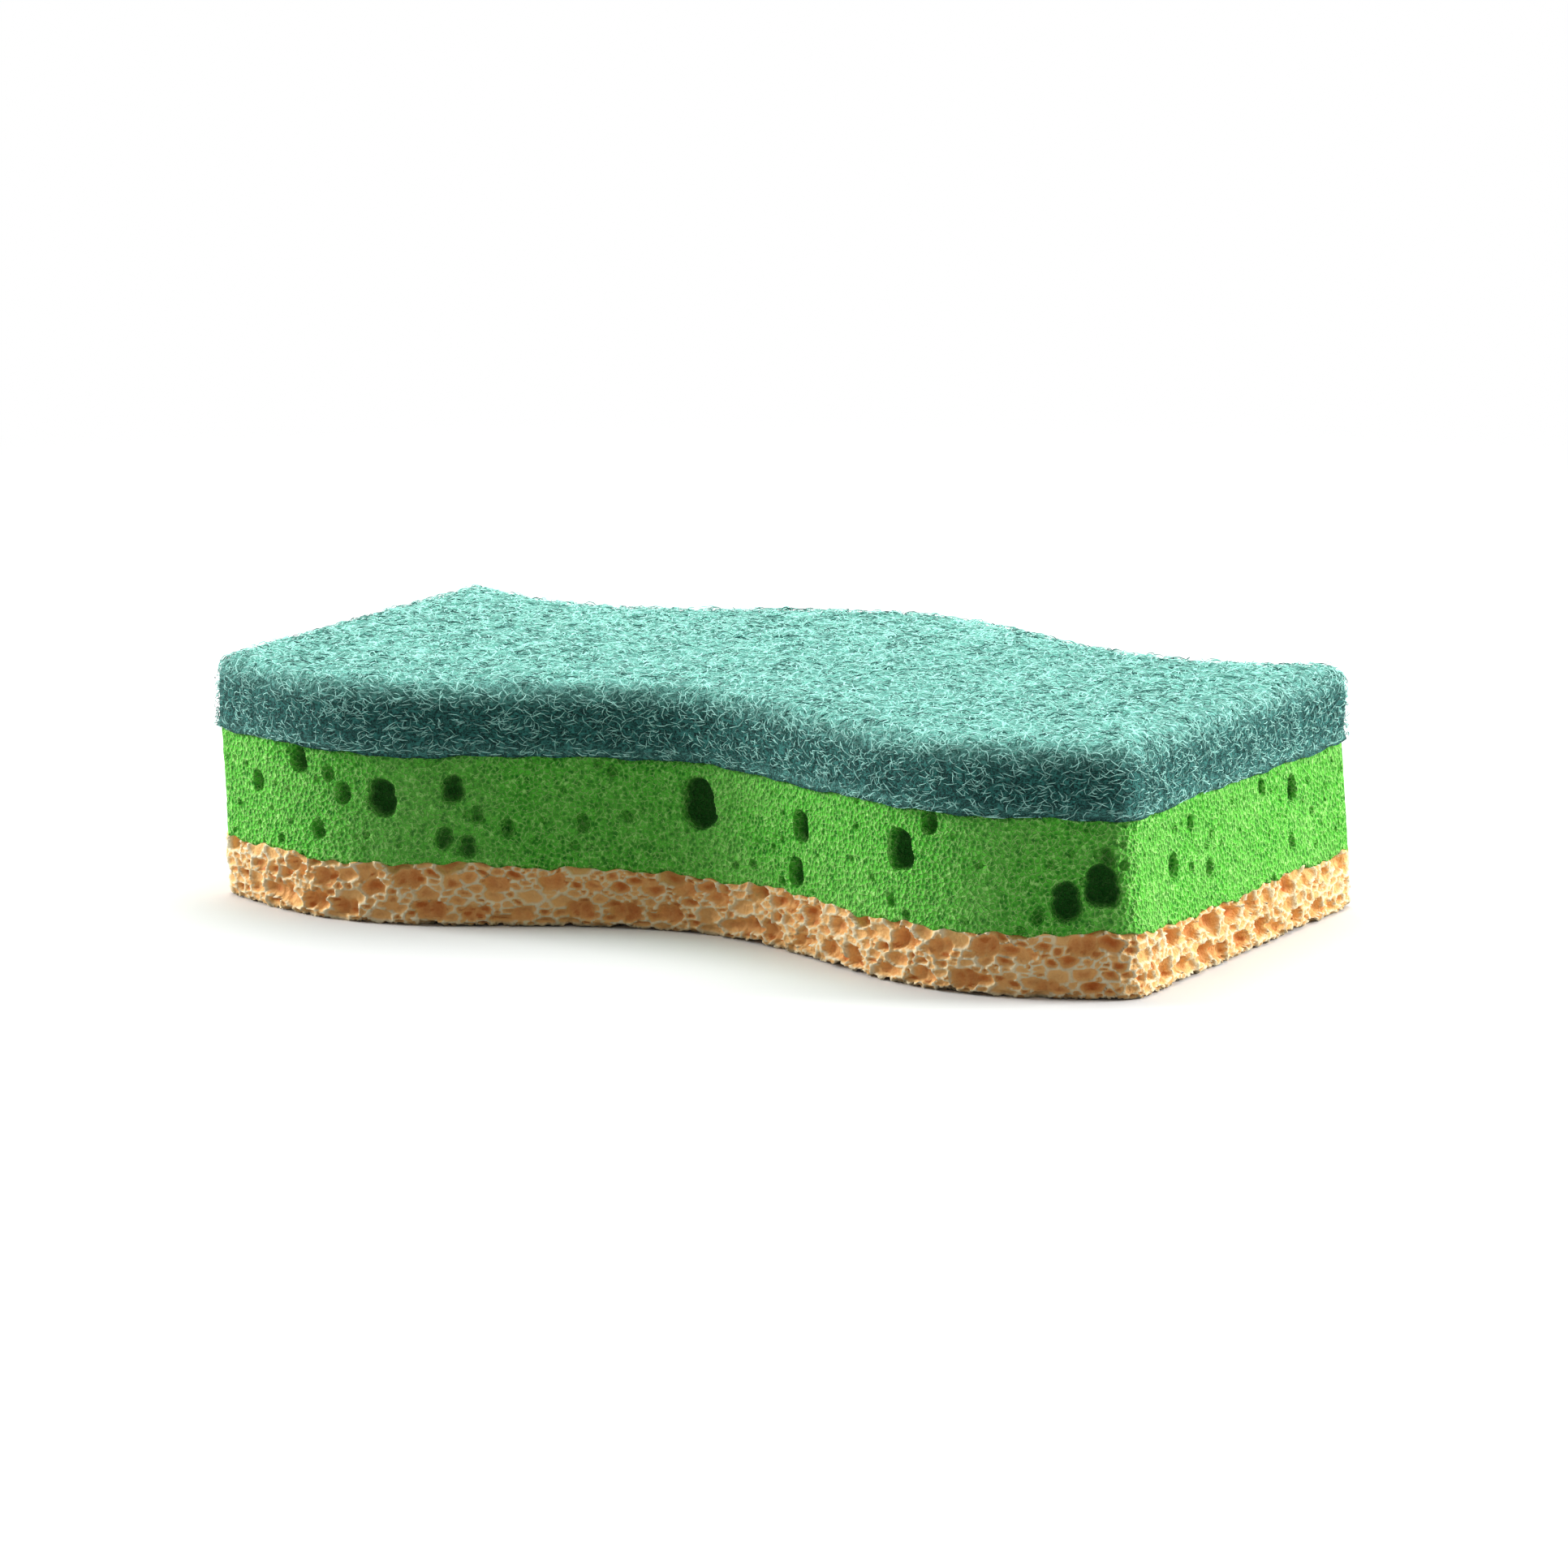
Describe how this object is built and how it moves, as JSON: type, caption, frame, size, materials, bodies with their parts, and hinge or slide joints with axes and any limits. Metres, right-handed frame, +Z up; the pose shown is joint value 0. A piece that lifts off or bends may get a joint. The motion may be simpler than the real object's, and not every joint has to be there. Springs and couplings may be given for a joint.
{
  "type": "cleaning sponge",
  "caption": "Layered kitchen cleaning sponge with a wavy outline: abrasive fibre pad on top, soft foam core and coarse open-pored cellulose layer below.",
  "frame": {"origin": "middle of the underside of the cellulose layer, which the sponge rests on", "axes": "+X along the length, +Y towards the long side that bulges in its middle, +Z up from the cellulose to the scouring pad"},
  "size_m": [0.12, 0.0732, 0.029],
  "materials": {
    "cellulose": "matt, coarse open pores",
    "foam": "matt open-cell foam",
    "scouring_fibre": "matt non-woven fibre"
  },
  "bodies": {
    "root": {"cellulose_layer": "cellulose", "foam_core": "foam", "scouring_pad": "scouring_fibre"}
  },
  "joints": []
}
